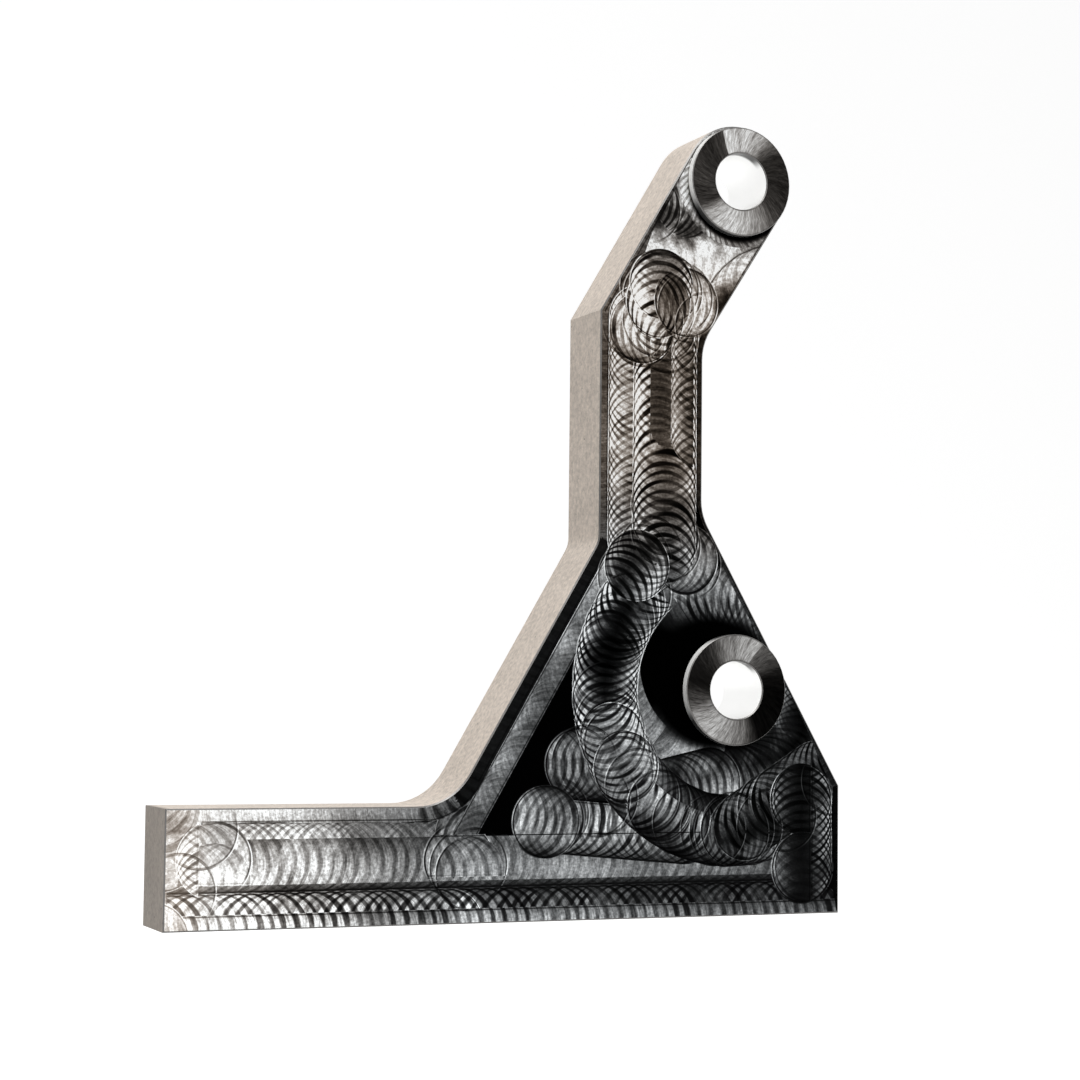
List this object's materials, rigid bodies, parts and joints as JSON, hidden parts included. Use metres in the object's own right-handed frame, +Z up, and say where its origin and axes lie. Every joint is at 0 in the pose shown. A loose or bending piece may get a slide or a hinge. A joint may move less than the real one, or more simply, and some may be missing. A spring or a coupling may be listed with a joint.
{
  "type": "engine brace",
  "caption": "Plate-cut aluminium engine brace: long plain foot, triangular gusset with a bolt boss, and a cranked arm ending in a second bolt boss.",
  "frame": {"origin": "centre of the underside's bounding rectangle: halfway along the foot, halfway through the full thickness at the bosses, on the underside of the foot", "axes": "+X along the foot from its free end towards the gusset, +Y through the plate from the milled front to the back, +Z up the arm"},
  "size_m": [0.1572, 0.019, 0.1793],
  "materials": {
    "milled_aluminium": "cut plate: front face milled with bright overlapping cutter marks, side walls left dull and finely pitted as cut"
  },
  "bodies": {
    "root": {"engine_brace": "milled_aluminium"}
  },
  "joints": []
}
